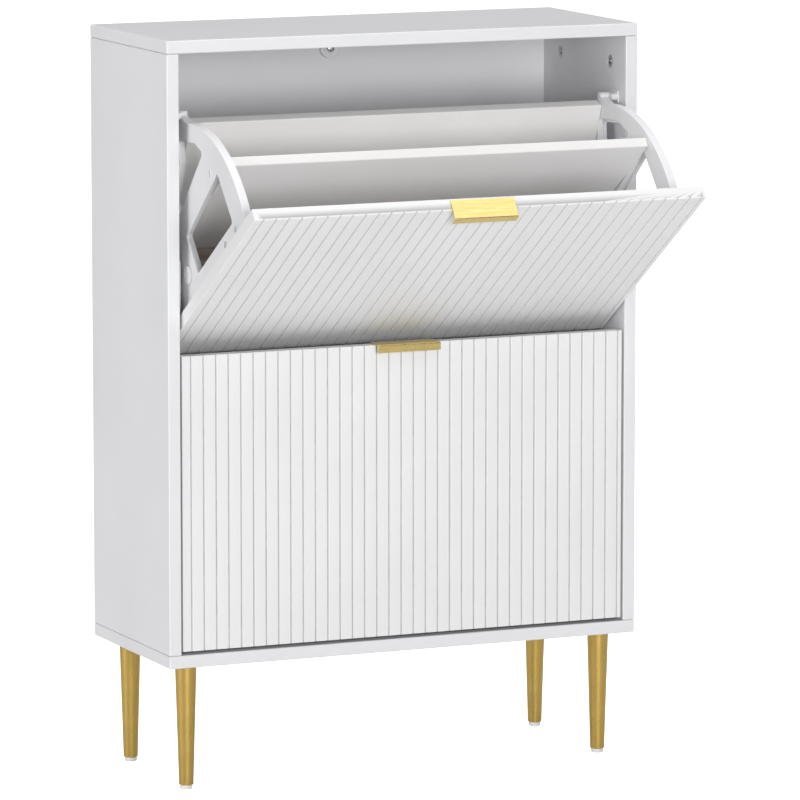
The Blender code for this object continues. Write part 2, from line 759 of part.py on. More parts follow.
def make_tray(drawer):
    half = bracket_inner - TOUCH_GAP
    front = drawer.door_back + TOUCH_GAP
    divider_y, divider_top = drawer.at(DIVIDER_FRONT, DIVIDER_TOP)
    box(
        drawer.name + "_divider",
        (-half, divider_y, drawer.seat + DIVIDER_ABOVE_SEAT),
        (half, divider_y + DIVIDER_THICKNESS, divider_top),
        "tray_board",
        drawer.empty,
        EDGE_ROUND,
    )
    top_y, top_z = drawer.at(*REAR_BOARD_TOP)
    foot_y = drawer.at(REAR_BOARD_BOTTOM, 0)[0]
    foot_z = drawer.seat - REAR_BOARD_BELOW_SEAT
    lean = atan2(top_y - foot_y, top_z - foot_z)
    length = hypot(top_y - foot_y, top_z - foot_z)
    board = box(
        drawer.name + "_rear_board",
        (-half, -REAR_BOARD_THICKNESS / 2, -length / 2),
        (half, REAR_BOARD_THICKNESS / 2, length / 2),
        "tray_board",
        drawer.empty,
        EDGE_ROUND,
    )
    across = REAR_BOARD_THICKNESS / 2
    board.location = (
        0,
        (top_y + foot_y) / 2 - across * cos(lean),
        (top_z + foot_z) / 2 + across * sin(lean),
    )
    board.rotation_euler = (-lean, 0, 0)
    underside = drawer.seat - SEAT_THICKNESS
    face_y = foot_y - REAR_BOARD_THICKNESS / cos(lean) + (underside - foot_z) * sin(lean) / cos(lean)
    box(
        drawer.name + "_seat_board",
        (-half, front, underside),
        (half, face_y - TOUCH_GAP, drawer.seat),
        "seat_board",
        drawer.empty,
    )


def make_hinge_mount(drawer, side, sign):
    """Its front curves round the pin, inside the circle that the door's back sweeps."""
    name = f"{drawer.name}_hinge_mount_{side}"
    face = inner_half - TOUCH_GAP
    ends = sorted((sign * face, sign * (face - MOUNT_THICKNESS)))
    reach = -drawer.door_back - MOUNT_FRONT_LIMIT
    rear = MOUNT_LENGTH - reach
    corner = MOUNT_CORNER
    shape = arc_points((0, 0), reach, pi, 1.5 * pi, 8)
    shape += arc_points((rear - corner, corner - reach), corner, 1.5 * pi, 2 * pi, 4)
    shape += arc_points((rear - corner, MOUNT_ABOVE_PIN - corner), corner, 0, pi / 2, 4)
    shape += arc_points((corner - reach, MOUNT_ABOVE_PIN - corner), corner, pi / 2, pi, 4)
    outline = [(drawer.pivot_y + y, drawer.pivot_z + z) for y, z in shape]
    plate = flat_solid(name, outline, *ends, True, "plastic")
    round_edges(plate, PLASTIC_EDGE_ROUND)
    pin = rod(
        name + "_pin",
        PIN_RADIUS,
        (sign * (face - MOUNT_THICKNESS / 2), drawer.pivot_y, drawer.pivot_z),
        (sign * (bracket_inner + PIN_END_CLEARANCE), drawer.pivot_y, drawer.pivot_z),
        None,
    )
    combine(plate, pin, "UNION")


def make_stop_peg(drawer, side, sign):
    y, z = drawer.polar(drawer.peg_radius, drawer.peg_angle)
    y += drawer.pivot_y
    z += drawer.pivot_z
    name = f"{drawer.name}_stop_peg_{side}"
    face = inner_half - TOUCH_GAP
    ends = sorted((sign * face, sign * (face - PEG_PLATE)))
    low_y = y - PEG_RADIUS
    corners = [
        (low_y, z - PEG_PLATE_HEIGHT / 2),
        (low_y, z + PEG_PLATE_HEIGHT / 2),
        (low_y + PEG_PLATE_LENGTH, z + PEG_PLATE_HEIGHT / 2),
        (low_y + PEG_PLATE_LENGTH, z - PEG_PLATE_HEIGHT / 2),
    ]
    plate = flat_solid(name, rounded(corners, 0.003), *ends, True, "plastic")
    peg = rod(
        name + "_rod",
        PEG_RADIUS,
        (sign * (face - PEG_PLATE / 2), y, z),
        (sign * (bracket_outer + PEG_END_CLEARANCE), y, z),
        None,
        segments=20,
    )
    combine(plate, peg, "UNION")


bottom_panel, top_panel, sides = make_carcass()
back_panel = make_back_panel((bottom_panel, top_panel, *sides.values()))
make_cam_joints(top_panel, sides)
make_body_screws(bottom_panel, sides)
make_wall_fixing(back_panel)
make_legs(bottom_panel)

drawers = (
    Drawer(
        "upper", upper_door_bottom(), upper_door_top, UPPER_PIVOT_SETBACK, upper_pivot_height, OPEN_ANGLE
    ),
    Drawer("lower", lower_door_bottom, lower_door_top, LOWER_PIVOT_SETBACK, lower_pivot_height, 0.0),
)
for drawer in drawers:
    make_door(drawer)
    make_tray(drawer)
    for side, sign in (("left", -1), ("right", 1)):
        make_bracket(drawer, side, sign)
        make_hinge_mount(drawer, side, sign)
        make_stop_peg(drawer, side, sign)
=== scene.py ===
# Looks for the flip-drawer shoe cabinet: laminated boards, fluted doors, moulded
# brackets and gold legs and pulls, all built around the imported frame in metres.
import json
from math import asin, atan2, cos, hypot, pi, radians, sin, sqrt, tan

import bmesh
import bpy
from mathutils import Matrix, Vector


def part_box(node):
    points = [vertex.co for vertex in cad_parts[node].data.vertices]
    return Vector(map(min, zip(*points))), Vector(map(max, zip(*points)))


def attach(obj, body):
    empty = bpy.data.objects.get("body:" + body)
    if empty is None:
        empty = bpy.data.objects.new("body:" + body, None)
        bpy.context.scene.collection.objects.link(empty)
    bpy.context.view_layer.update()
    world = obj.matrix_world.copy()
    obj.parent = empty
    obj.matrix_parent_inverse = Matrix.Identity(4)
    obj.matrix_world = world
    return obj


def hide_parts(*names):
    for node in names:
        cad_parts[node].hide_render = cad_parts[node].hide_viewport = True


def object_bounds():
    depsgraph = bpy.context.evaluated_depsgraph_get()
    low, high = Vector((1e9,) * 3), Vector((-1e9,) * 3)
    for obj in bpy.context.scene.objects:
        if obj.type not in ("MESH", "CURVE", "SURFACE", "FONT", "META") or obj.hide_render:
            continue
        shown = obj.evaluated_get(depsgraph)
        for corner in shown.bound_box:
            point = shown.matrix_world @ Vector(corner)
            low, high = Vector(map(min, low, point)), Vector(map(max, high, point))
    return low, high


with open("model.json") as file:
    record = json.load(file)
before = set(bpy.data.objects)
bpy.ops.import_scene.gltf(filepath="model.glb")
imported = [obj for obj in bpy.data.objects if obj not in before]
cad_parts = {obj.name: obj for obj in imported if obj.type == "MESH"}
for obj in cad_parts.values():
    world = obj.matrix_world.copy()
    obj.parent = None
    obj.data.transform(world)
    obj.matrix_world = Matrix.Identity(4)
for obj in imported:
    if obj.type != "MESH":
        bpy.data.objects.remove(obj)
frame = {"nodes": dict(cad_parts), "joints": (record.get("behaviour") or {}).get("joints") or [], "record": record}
cadLow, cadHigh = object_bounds()
print("frame loaded:", len(frame["nodes"]), "nodes")

slots = {entry["node"]: entry["material_slot"] for entry in frame["record"]["subparts"]}
homes = {node: body for body, nodes in frame["record"]["behaviour"]["bodies"].items() for node in nodes}
hairGap = 0.0003  # what touching pieces keep between them


# Shader helpers


def addNode(tree, kind, inputs=None, **settings):
    node = tree.nodes.new(kind)
    for name, value in settings.items():
        setattr(node, name, value)
    for name, value in (inputs or {}).items():
        node.inputs[name].default_value = value
    return node


def startGroup(name, inputs, outputs):
    tree = bpy.data.node_groups.new(name, "ShaderNodeTree")
    for label, value in inputs.items():
        kind = "NodeSocketVector" if isinstance(value, tuple) else "NodeSocketFloat"
        socket = tree.interface.new_socket(label, in_out="INPUT", socket_type=kind)
        socket.default_value = value
    for label in outputs:
        tree.interface.new_socket(label, in_out="OUTPUT", socket_type="NodeSocketFloat")
    return tree, tree.nodes.new("NodeGroupInput"), tree.nodes.new("NodeGroupOutput")


def math(tree, operation, a, b=None, clamp=False):
    node = addNode(tree, "ShaderNodeMath", operation=operation, use_clamp=clamp)
    for socket, value in zip(node.inputs, (a, b)):
        if value is None:
            continue
        if isinstance(value, (int, float)):
            socket.default_value = value
        else:
            tree.links.new(value, socket)
    return node.outputs[0]


def remap(tree, value, low, high, toLow=0.0, toHigh=1.0):
    node = addNode(tree, "ShaderNodeMapRange", {"From Min": low, "From Max": high})
    node.inputs["To Min"].default_value = toLow
    node.inputs["To Max"].default_value = toHigh
    tree.links.new(value, node.inputs["Value"])
    return node.outputs["Result"]


def noise(tree, vector, scale, detail=2.0, roughness=0.5):
    node = addNode(tree, "ShaderNodeTexNoise", {"Detail": detail, "Roughness": roughness})
    tree.links.new(vector, node.inputs["Vector"])
    if isinstance(scale, (int, float)):
        node.inputs["Scale"].default_value = scale
    else:
        tree.links.new(scale, node.inputs["Scale"])
    return node.outputs["Fac"]


def buildMottle():
    # slow cloudiness, which no sprayed or pressed surface is free of
    tree, source, sink = startGroup("mottle", {"Size": 0.05}, ["Mask"])
    coords = addNode(tree, "ShaderNodeTexCoord")
    scale = math(tree, "DIVIDE", 1.0, source.outputs["Size"])
    broad = noise(tree, coords.outputs["Object"], scale, 3.0)
    tree.links.new(remap(tree, broad, 0.32, 0.68), sink.inputs["Mask"])
    return tree


def buildEdgeTouch():
    # where the surface turns at an edge, broken up so that it isn't an outline
    tree, source, sink = startGroup("edgeTouch", {"Radius": 0.001, "Breakup": 90.0}, ["Mask"])
    geometry = addNode(tree, "ShaderNodeNewGeometry")
    bevel = addNode(tree, "ShaderNodeBevel", samples=4)
    tree.links.new(source.outputs["Radius"], bevel.inputs["Radius"])
    dot = addNode(tree, "ShaderNodeVectorMath", operation="DOT_PRODUCT")
    tree.links.new(bevel.outputs["Normal"], dot.inputs[0])
    tree.links.new(geometry.outputs["True Normal"], dot.inputs[1])
    turn = remap(tree, dot.outputs["Value"], 0.985, 0.80)
    coords = addNode(tree, "ShaderNodeTexCoord")
    patches = remap(tree, noise(tree, coords.outputs["Object"], source.outputs["Breakup"], 3.0), 0.35, 0.62)
    tree.links.new(math(tree, "MULTIPLY", turn, patches, clamp=True), sink.inputs["Mask"])
    return tree


def buildPores():
    # fine texture of a pressed, sprayed or moulded skin; Stretch draws it out along an axis
    tree, source, sink = startGroup("pores", {"Size": 0.001, "Stretch": (1.0, 1.0, 1.0)}, ["Height"])
    coords = addNode(tree, "ShaderNodeTexCoord")
    stretch = addNode(tree, "ShaderNodeVectorMath", operation="MULTIPLY")
    tree.links.new(coords.outputs["Object"], stretch.inputs[0])
    tree.links.new(source.outputs["Stretch"], stretch.inputs[1])
    scale = math(tree, "DIVIDE", 1.0, source.outputs["Size"])
    fine = noise(tree, stretch.outputs[0], scale, 4.0, 0.6)
    coarse = noise(tree, stretch.outputs[0], math(tree, "MULTIPLY", scale, 0.23), 2.0)
    fineShare = math(tree, "MULTIPLY", fine, 0.65)
    coarseShare = math(tree, "MULTIPLY", coarse, 0.35)
    tree.links.new(math(tree, "ADD", fineShare, coarseShare), sink.inputs["Height"])
    return tree


def buildWoodGrain():
    # long fibres with slow waves, for the printed brown seat boards
    tree, source, sink = startGroup("woodGrain", {"Along": 0.12, "Across": 0.004}, ["Fibre", "Ring"])
    coords = addNode(tree, "ShaderNodeTexCoord")
    split = addNode(tree, "ShaderNodeSeparateXYZ")
    tree.links.new(coords.outputs["Object"], split.inputs[0])
    joined = addNode(tree, "ShaderNodeCombineXYZ")
    tree.links.new(math(tree, "DIVIDE", split.outputs["X"], source.outputs["Along"]), joined.inputs["X"])
    tree.links.new(math(tree, "DIVIDE", split.outputs["Y"], source.outputs["Across"]), joined.inputs["Y"])
    fibre = noise(tree, joined.outputs[0], 1.0, 6.0, 0.65)
    ring = noise(tree, joined.outputs[0], 0.22, 2.0)
    tree.links.new(remap(tree, fibre, 0.3, 0.7), sink.inputs["Fibre"])
    waves = math(tree, "FRACT", math(tree, "MULTIPLY", ring, 7.0))
    tree.links.new(remap(tree, waves, 0.0, 1.0), sink.inputs["Ring"])
    return tree


groups = {
    "mottle": buildMottle(),
    "edgeTouch": buildEdgeTouch(),
    "pores": buildPores(),
    "woodGrain": buildWoodGrain(),
}


def useGroup(tree, name, **inputs):
    node = tree.nodes.new("ShaderNodeGroup")
    node.node_tree = groups[name]
    for label, value in inputs.items():
        node.inputs[label].default_value = value
    return node


def mixColour(tree, mask, first, second):
    node = addNode(tree, "ShaderNodeMix", data_type="RGBA", clamp_factor=True)
    tree.links.new(mask, node.inputs["Factor"])
    for index, value in ((6, first), (7, second)):
        if isinstance(value, tuple):
            node.inputs[index].default_value = (*value, 1.0)
        else:
            tree.links.new(value, node.inputs[index])
    return node.outputs[2]


def newMaterial(name):
    material = bpy.data.materials.new(name)
    material.use_nodes = True
    tree = material.node_tree
    return material, tree, tree.nodes["Principled BSDF"]


def addBump(tree, shader, height, distance, strength=1.0):
    bump = addNode(tree, "ShaderNodeBump", {"Strength": strength, "Distance": distance})
    tree.links.new(height, bump.inputs["Height"])
    tree.links.new(bump.outputs["Normal"], shader.inputs["Normal"])


# Finishes

boardLook = {
    "carcass": {
        "colour": (0.80, 0.80, 0.815),
        "shade": (0.765, 0.768, 0.785),
        "edge": (0.86, 0.86, 0.87),
        "rough": 0.36,
    },
    "fluted_door": {
        "colour": (0.83, 0.83, 0.835),
        "shade": (0.80, 0.80, 0.807),
        "edge": (0.88, 0.88, 0.88),
        # painted shade colour for the foot of the grooves
        "groove": (0.30, 0.30, 0.31),
        "rough": 0.40,
    },
    "tray_board": {
        "colour": (0.79, 0.78, 0.775),
        "shade": (0.75, 0.742, 0.735),
        "edge": (0.86, 0.86, 0.855),
        "rough": 0.42,
    },
    "back_panel": {
        "colour": (0.80, 0.80, 0.815),
        "shade": (0.765, 0.768, 0.785),
        "edge": (0.86, 0.86, 0.87),
        "rough": 0.50,
    },
}
boardSkin = {
    "mottleSize": 0.16,
    "poreSize": 0.0011,
    "poreDepth": 0.00003,
    "edgeRadius": 0.0009,
    "roughSpread": 0.08,
    "grooveShade": 0.8,
}


def makeBoardMaterial(slot):
    look = boardLook[slot]
    material, tree, shader = newMaterial(slot)
    clouds = useGroup(tree, "mottle", Size=boardSkin["mottleSize"])
    pores = useGroup(tree, "pores", Size=boardSkin["poreSize"], Stretch=(1.0, 1.0, 0.55))
    touch = useGroup(tree, "edgeTouch", Radius=boardSkin["edgeRadius"], Breakup=70.0)
    face = mixColour(tree, clouds.outputs["Mask"], look["colour"], look["shade"])
    if slot == "fluted_door":  # painted shade: the foot of each groove is darkened towards a grey, for the shade that falls there
        groove = addNode(tree, "ShaderNodeAttribute", attribute_name="groove")
        foot = remap(tree, groove.outputs["Fac"], 0.35, 1.0, 0.0, boardSkin["grooveShade"])
        face = mixColour(tree, foot, face, look["groove"])
    worn = mixColour(tree, touch.outputs["Mask"], face, look["edge"])
    tree.links.new(worn, shader.inputs["Base Color"])
    low = look["rough"] - boardSkin["roughSpread"] / 2
    base = remap(tree, pores.outputs["Height"], 0.35, 0.65, low, low + boardSkin["roughSpread"])
    rough = math(tree, "ADD", base, math(tree, "MULTIPLY", touch.outputs["Mask"], -0.08))
    tree.links.new(rough, shader.inputs["Roughness"])
    addBump(tree, shader, pores.outputs["Height"], boardSkin["poreDepth"])
    return material


seatLook = {
    "dark": (0.284, 0.221, 0.179),
    "light": (0.567, 0.473, 0.399),
    "rough": 0.55,
    "poreDepth": 0.00008,
}


def makeSeatMaterial():
    material, tree, shader = newMaterial("seat_board")
    grain = useGroup(tree, "woodGrain", Along=0.10, Across=0.0035)
    touch = useGroup(tree, "edgeTouch", Radius=0.0008, Breakup=120.0)
    streaks = mixColour(tree, grain.outputs["Fibre"], seatLook["dark"], seatLook["light"])
    tone = mixColour(tree, math(tree, "MULTIPLY", grain.outputs["Ring"], 0.35), streaks, seatLook["dark"])
    worn = mixColour(tree, math(tree, "MULTIPLY", touch.outputs["Mask"], 0.5), tone, (0.36, 0.31, 0.26))
    tree.links.new(worn, shader.inputs["Base Color"])
    tree.links.new(remap(tree, grain.outputs["Fibre"], 0.0, 1.0, 0.48, 0.62), shader.inputs["Roughness"])
    addBump(tree, shader, grain.outputs["Fibre"], seatLook["poreDepth"])
    return material


plasticLook = {
    "bracket": {
        "colour": (0.79, 0.79, 0.805),
        "shade": (0.75, 0.752, 0.77),
        "edge": (0.88, 0.88, 0.89),
        "rough": 0.38,
    },
    "plastic": {
        "colour": (0.82, 0.82, 0.825),
        "shade": (0.77, 0.77, 0.78),
        "edge": (0.88, 0.88, 0.88),
        "rough": 0.34,
    },
    "foot": {
        "colour": (0.82, 0.82, 0.80),
        "shade": (0.74, 0.74, 0.72),
        "edge": (0.88, 0.88, 0.86),
        "rough": 0.46,
    },
}


def makePlasticMaterial(slot):
    look = plasticLook[slot]
    material, tree, shader = newMaterial(slot)
    clouds = useGroup(tree, "mottle", Size=0.06)
    pores = useGroup(tree, "pores", Size=0.0007)
    touch = useGroup(tree, "edgeTouch", Radius=0.0007, Breakup=140.0)
    face = mixColour(tree, clouds.outputs["Mask"], look["colour"], look["shade"])
    tree.links.new(mixColour(tree, touch.outputs["Mask"], face, look["edge"]), shader.inputs["Base Color"])
    rough = remap(tree, pores.outputs["Height"], 0.35, 0.65, look["rough"] - 0.05, look["rough"] + 0.06)
    tree.links.new(rough, shader.inputs["Roughness"])
    shader.inputs["Subsurface Weight"].default_value = 0.06
    shader.inputs["Subsurface Radius"].default_value = (0.002, 0.002, 0.002)
    shader.inputs["IOR"].default_value = 1.49
    addBump(tree, shader, pores.outputs["Height"], 0.00003)
    return material


metalLook = {
    # one gold in two copies: the legs' copy is painted darker and the pulls' copy painted lighter, for how light
    # falls on each
    "legGold": {
        "colour": (0.68, 0.47, 0.135),
        "shade": (0.54, 0.36, 0.095),
        "edge": (0.82, 0.63, 0.28),
        "rough": 0.30,
    },
    "pullGoldPaintedLight": {
        "colour": (0.84, 0.66, 0.27),
        "shade": (0.72, 0.55, 0.20),
        "edge": (0.95, 0.80, 0.42),
        "rough": 0.27,
    },
    "zinc": {
        "colour": (0.60, 0.61, 0.63),
        "shade": (0.42, 0.43, 0.45),
        "edge": (0.78, 0.78, 0.80),
        "rough": 0.34,
    },
}


def makeMetalMaterial(name, stretch):
    look = metalLook[name]
    material, tree, shader = newMaterial(name)
    clouds = useGroup(tree, "mottle", Size=0.035)
    hairs = useGroup(tree, "pores", Size=0.0006, Stretch=stretch)
    touch = useGroup(tree, "edgeTouch", Radius=0.0006, Breakup=160.0)
    cloudShare = math(tree, "MULTIPLY", clouds.outputs["Mask"], 0.35)
    face = mixColour(tree, cloudShare, look["colour"], look["shade"])
    streak = mixColour(tree, remap(tree, hairs.outputs["Height"], 0.42, 0.7, 0.0, 0.35), face, look["shade"])
    tree.links.new(mixColour(tree, touch.outputs["Mask"], streak, look["edge"]), shader.inputs["Base Color"])
    rough = remap(tree, hairs.outputs["Height"], 0.35, 0.65, look["rough"] - 0.05, look["rough"] + 0.10)
    tree.links.new(rough, shader.inputs["Roughness"])
    shader.inputs["Metallic"].default_value = 1.0
    addBump(tree, shader, hairs.outputs["Height"], 0.000015)
    return material


materials = {slot: makeBoardMaterial(slot) for slot in boardLook}
materials.update({slot: makePlasticMaterial(slot) for slot in plasticLook})
materials["seat_board"] = makeSeatMaterial()
materials["legGold"] = makeMetalMaterial("legGold", (1.0, 1.0, 0.04))
materials["pullGoldPaintedLight"] = makeMetalMaterial("pullGoldPaintedLight", (0.04, 1.0, 1.0))
materials["zinc"] = makeMetalMaterial("zinc", (1.0, 1.0, 1.0))
print("materials made:", ", ".join(sorted(materials)))


# Mesh helpers


def toObject(name, bm):
    bmesh.ops.recalc_face_normals(bm, faces=bm.faces)
    mesh = bpy.data.meshes.new(name)
    bm.to_mesh(mesh)
    bm.free()
    thing = bpy.data.objects.new(name, mesh)
    bpy.context.scene.collection.objects.link(thing)
    return thing


def roundEdges(thing, width, segments=3, angle=30.0):
    bevel = thing.modifiers.new("edges", "BEVEL")
    bevel.width = width
    bevel.segments = segments
    bevel.limit_method = "ANGLE"
    bevel.angle_limit = radians(angle)
    return bevel


def smoothOut(thing, angle=35.0):
    thing.data.shade_smooth()
    thing.data.set_sharp_from_angle(angle=radians(angle))
    weighted = thing.modifiers.new("shading", "WEIGHTED_NORMAL")
    weighted.keep_sharp = True


def settle(thing, node, matrix=None):
    # gives a finished piece its place, body and finish
    if matrix is not None:
        thing.matrix_world = matrix
    thing.data.materials.clear()
    finish = slots[node]
    # the one gold is split: the legs take the copy painted darker, the pulls the copy painted lighter
    if finish == "gold":
        finish = "legGold" if node.startswith("leg_") else "pullGoldPaintedLight"
    thing.data.materials.append(materials[finish])
    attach(thing, homes[node])
    return thing


def cutAway(thing, tool, operation="DIFFERENCE"):
    step = thing.modifiers.new(tool.name, "BOOLEAN")
    step.operation = operation
    step.object = tool
    step.solver = "EXACT"
    tool.hide_render = True
    tool.display_type = "WIRE"


def applyAll(thing):
    bpy.context.view_layer.update()
    evaluated = thing.evaluated_get(bpy.context.evaluated_depsgraph_get())
    mesh = bpy.data.meshes.new_from_object(evaluated)
    if not mesh.polygons:
        raise ValueError(f"nothing is left of {thing.name}")
    tools = [step.object for step in thing.modifiers if step.type == "BOOLEAN"]
    thing.modifiers.clear()
    old = thing.data
    thing.data = mesh
    bpy.data.meshes.remove(old)
    for tool in tools:
        bpy.data.objects.remove(tool, do_unlink=True)
    return thing


def refine(node, width, segments=3, smoothAngle=35.0):
    # the same solid with its flat faces made whole again and its edges rounded
    bm = bmesh.new()
    bm.from_mesh(frame["nodes"][node].data)
    bmesh.ops.remove_doubles(bm, verts=bm.verts, dist=0.00001)
    bmesh.ops.dissolve_limit(bm, angle_limit=radians(0.4), verts=bm.verts, edges=bm.edges)
    thing = toObject(node + "_finished", bm)
    if width:
        roundEdges(thing, width, segments)
    smoothOut(thing, smoothAngle)
    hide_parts(node)
    return settle(thing, node)


# Every solid that is already the right shape gets a finished twin of its own

edgeWidths = {
    "carcass": 0.00035,
    "back_panel": 0.0003,
    "tray_board": 0.00035,
    "seat_board": 0.0006,
    "plastic": 0.0003,
    "zinc": 0.0002,
}
madeByHand = ("_door", "_handle", "leg_", "_bracket_", "cam_lock", "wall_boss", "wall_screw")


def isMadeByHand(node):
    return any(part in node for part in madeByHand)


twins = [node for node in sorted(frame["nodes"]) if not isMadeByHand(node)]
for node in twins:
    refine(node, edgeWidths[slots[node]])
print("twins of plain boards and fittings:", len(twins))


# Drawer frames: the pivot is the origin and the door stands upright, as when shut

joints = {joint["child"]: joint for joint in frame["joints"]}


def drawerMatrix(body):
    joint = joints[body]
    openAngle = radians(-joint["range_deg"][0])
    return Matrix.Translation(joint["pos_m"]) @ Matrix.Rotation(openAngle, 4, "X")


def localBox(node, matrix):
    back = matrix.inverted()
    spots = [back @ vertex.co for vertex in frame["nodes"][node].data.vertices]
    low = Vector(min(spot[axis] for spot in spots) for axis in range(3))
    high = Vector(max(spot[axis] for spot in spots) for axis in range(3))
    return low, high


def arcPoints(centre, radius, start, end, count):
    turn = (end - start) / count
    angles = [start + turn * step for step in range(count + 1)]
    return [(centre[0] + radius * cos(a), centre[1] + radius * sin(a)) for a in angles]


def extrudeOutline(name, outline, low, high):
    # an outline of (y, z) points made solid along X
    bm = bmesh.new()
    ends = [[bm.verts.new((x, y, z)) for y, z in outline] for x in (low, high)]
    bm.faces.new(ends[0])
    bm.faces.new(ends[1])
    count = len(outline)
    for index in range(count):
        after = (index + 1) % count
        bm.faces.new((ends[0][index], ends[0][after], ends[1][after], ends[1][index]))
    return toObject(name, bm)


def turnProfile(name, profile, steps):
    # a profile of (radius, height) points turned about Z, from axis to axis
    bm = bmesh.new()
    spots = [bm.verts.new((radius, 0.0, height)) for radius, height in profile]
    edges = [bm.edges.new(pair) for pair in zip(spots, spots[1:])]
    bmesh.ops.spin(bm, geom=spots + edges, cent=(0, 0, 0), axis=(0, 0, 1), angle=2 * pi, steps=steps)
    bmesh.ops.remove_doubles(bm, verts=bm.verts, dist=0.000005)
    return toObject(name, bm)


def roundCorner(corner, radius, start, steps=5):
    # a quarter turn of a lathe profile, clockwise from an angle in degrees
    return arcPoints(corner, radius, radians(start), radians(start - 90), steps)


# Doors: a board with grooves milled down its front

doorShape = {
    "groovePitch": 0.01567,
    "grooveWidth": 0.0030,
    "grooveDepth": 0.0014,
    "firstGroove": 0.0112,
    "lastMargin": 0.004,
    "edge": 0.0008,
    "edgeSteps": 4,
}
grooveHalf = ((1.0, 0.0), (0.82, 0.05), (0.6, 0.28), (0.08, 0.97))  # from its lip to its foot
grooveSection = tuple((-across, down) for across, down in grooveHalf) + grooveHalf[::-1]


def doorRing(half, front, back, inset):
    # points round the board in plan, each with how deep it lies in a groove
    shape = doorShape
    count = int((2 * half - shape["firstGroove"] - shape["lastMargin"]) / shape["groovePitch"]) + 1
    left, right = -half + inset, half - inset
    ring = [(right, back - inset, 0.0), (left, back - inset, 0.0)]
    corner = shape["edge"]
    start = arcPoints((left + corner, front + inset + corner), corner, pi, 1.5 * pi, 3)
    ring += [(x, y, 0.0) for x, y in start]
    for index in range(count):
        x = -half + shape["firstGroove"] + index * shape["groovePitch"]
        for across, down in grooveSection:
            y = front + inset + down * shape["grooveDepth"]
            ring.append((x + across * shape["grooveWidth"] / 2, y, down))
    end = arcPoints((right - corner, front + inset + corner), corner, 1.5 * pi, 2 * pi, 3)
    ring += [(x, y, 0.0) for x, y in end]
    return ring


def makeDoor(body):
    node = body.replace("drawer", "door")
    matrix = drawerMatrix(body)
    low, high = localBox(node, matrix)
    edge = doorShape["edge"]
    steps = doorShape["edgeSteps"]
    levels = []
    for step in range(steps + 1):
        angle = pi / 2 * step / steps
        levels.append((low.z + edge * (1 - sin(angle)), edge * (1 - cos(angle))))
    levels = levels[::-1]
    levels += [(low.z + high.z - z, inset) for z, inset in levels[::-1]]
    bm = bmesh.new()
    # how deep each point lies in a groove, which the door finish reads to paint shade at the groove foot
    depth = bm.verts.layers.float.new("groove")
    rings = []
    for z, inset in levels:
        ring = []
        for x, y, down in doorRing(high.x, low.y, high.y, inset):
            spot = bm.verts.new((x, y, z))
            spot[depth] = down
            ring.append(spot)
        rings.append(ring)
    for lower, upper in zip(rings, rings[1:]):
        count = len(lower)
        for index in range(count):
            after = (index + 1) % count
            bm.faces.new((lower[index], lower[after], upper[after], upper[index]))
    bm.faces.new(rings[0])
    bm.faces.new(rings[-1])
    door = toObject(node + "_board", bm)
    smoothOut(door, 38.0)
    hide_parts(node)
    return settle(door, node, matrix)


# Pulls: a strip folded over the door's top edge

pullShape = {
    "sheet": 0.0015,
    "lip": 0.010,
    "bend": 0.0021,
    "edge": 0.00035,
    "studRadius": 0.002,
    "studDepth": 0.0075,
    "studSpread": 0.050,
}


def makePull(body):
    node = body.replace("drawer", "handle")
    matrix = drawerMatrix(body)
    low, high = localBox(node, matrix)
    doorFront = localBox(body.replace("drawer", "door"), matrix)[0].y
    sheet, bend = pullShape["sheet"], pullShape["bend"]
    top, front, rear = high.z, low.y, high.y
    lip = top - pullShape["lip"]
    centre = (front + bend, top - bend)
    outline = [(rear, top - sheet), (rear, top)]
    outline += arcPoints(centre, bend, pi / 2, pi, 10)
    outline += [(front, lip), (front + sheet, lip)]
    outline += arcPoints(centre, bend - sheet, pi, pi / 2, 6)
    pull = extrudeOutline(node + "_pull", outline, low.x, high.x)
    roundEdges(pull, pullShape["edge"], 3, 50.0)
    smoothOut(pull)
    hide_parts(node)
    settle(pull, node, matrix)
    for sign in (-1, 1):
        depth = pullShape["studDepth"]
        radius = pullShape["studRadius"]
        side = "left" if sign < 0 else "right"
        profile = [(0, 0), (radius, 0), (radius, -depth), (0, -depth)]
        stud = turnProfile(f"{node}_stud_{side}", profile, 24)
        roundEdges(stud, 0.0004, 2)
        smoothOut(stud)
        x = sign * pullShape["studSpread"] / 2
        place = Matrix.Translation((x, (rear + doorFront) / 2, top - sheet * 0.9))
        settle(stud, node, matrix @ place)


# Legs and their glides

legShape = {"topEdge": 0.0008, "lowEdge": 0.0006, "steps": 96}


def makeLeg(node):
    low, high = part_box(node)
    footLow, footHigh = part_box(node.replace("leg_", "leg_foot_"))
    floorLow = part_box("bottom_panel")[0].z
    middle = (low + high) / 2
    top = floorLow - hairGap
    wide = (high.x - low.x) / 2
    narrow = wide * 2 / 3
    edge, foot = legShape["topEdge"], legShape["lowEdge"]
    profile = [(0, top)]
    profile += roundCorner((wide - edge, top - edge), edge, 90)
    profile += roundCorner((narrow - foot, low.z + foot), foot, 0)
    profile.append((0, low.z))
    leg = turnProfile(node + "_turned", profile, legShape["steps"])
    leg.location = (middle.x, middle.y, 0)
    smoothOut(leg, 50.0)
    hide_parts(node)
    settle(leg, node)
    radius = (footHigh.x - footLow.x) / 2
    base = 0.0013
    profile = [(0, low.z - hairGap)]
    profile += roundCorner((radius - 0.0005, low.z - hairGap - 0.0005), 0.0005, 90, 3)
    profile += roundCorner((radius - base, footLow.z + base), base, 0, 6)
    profile.append((0, footLow.z))
    glide = turnProfile(node + "_glide", profile, 64)
    glide.location = (middle.x, middle.y, 0)
    smoothOut(glide, 50.0)
    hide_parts(node.replace("leg_", "leg_foot_"))
    settle(glide, node.replace("leg_", "leg_foot_"))


# Side brackets: a moulded plate with two windows, its rim an arc about the tray

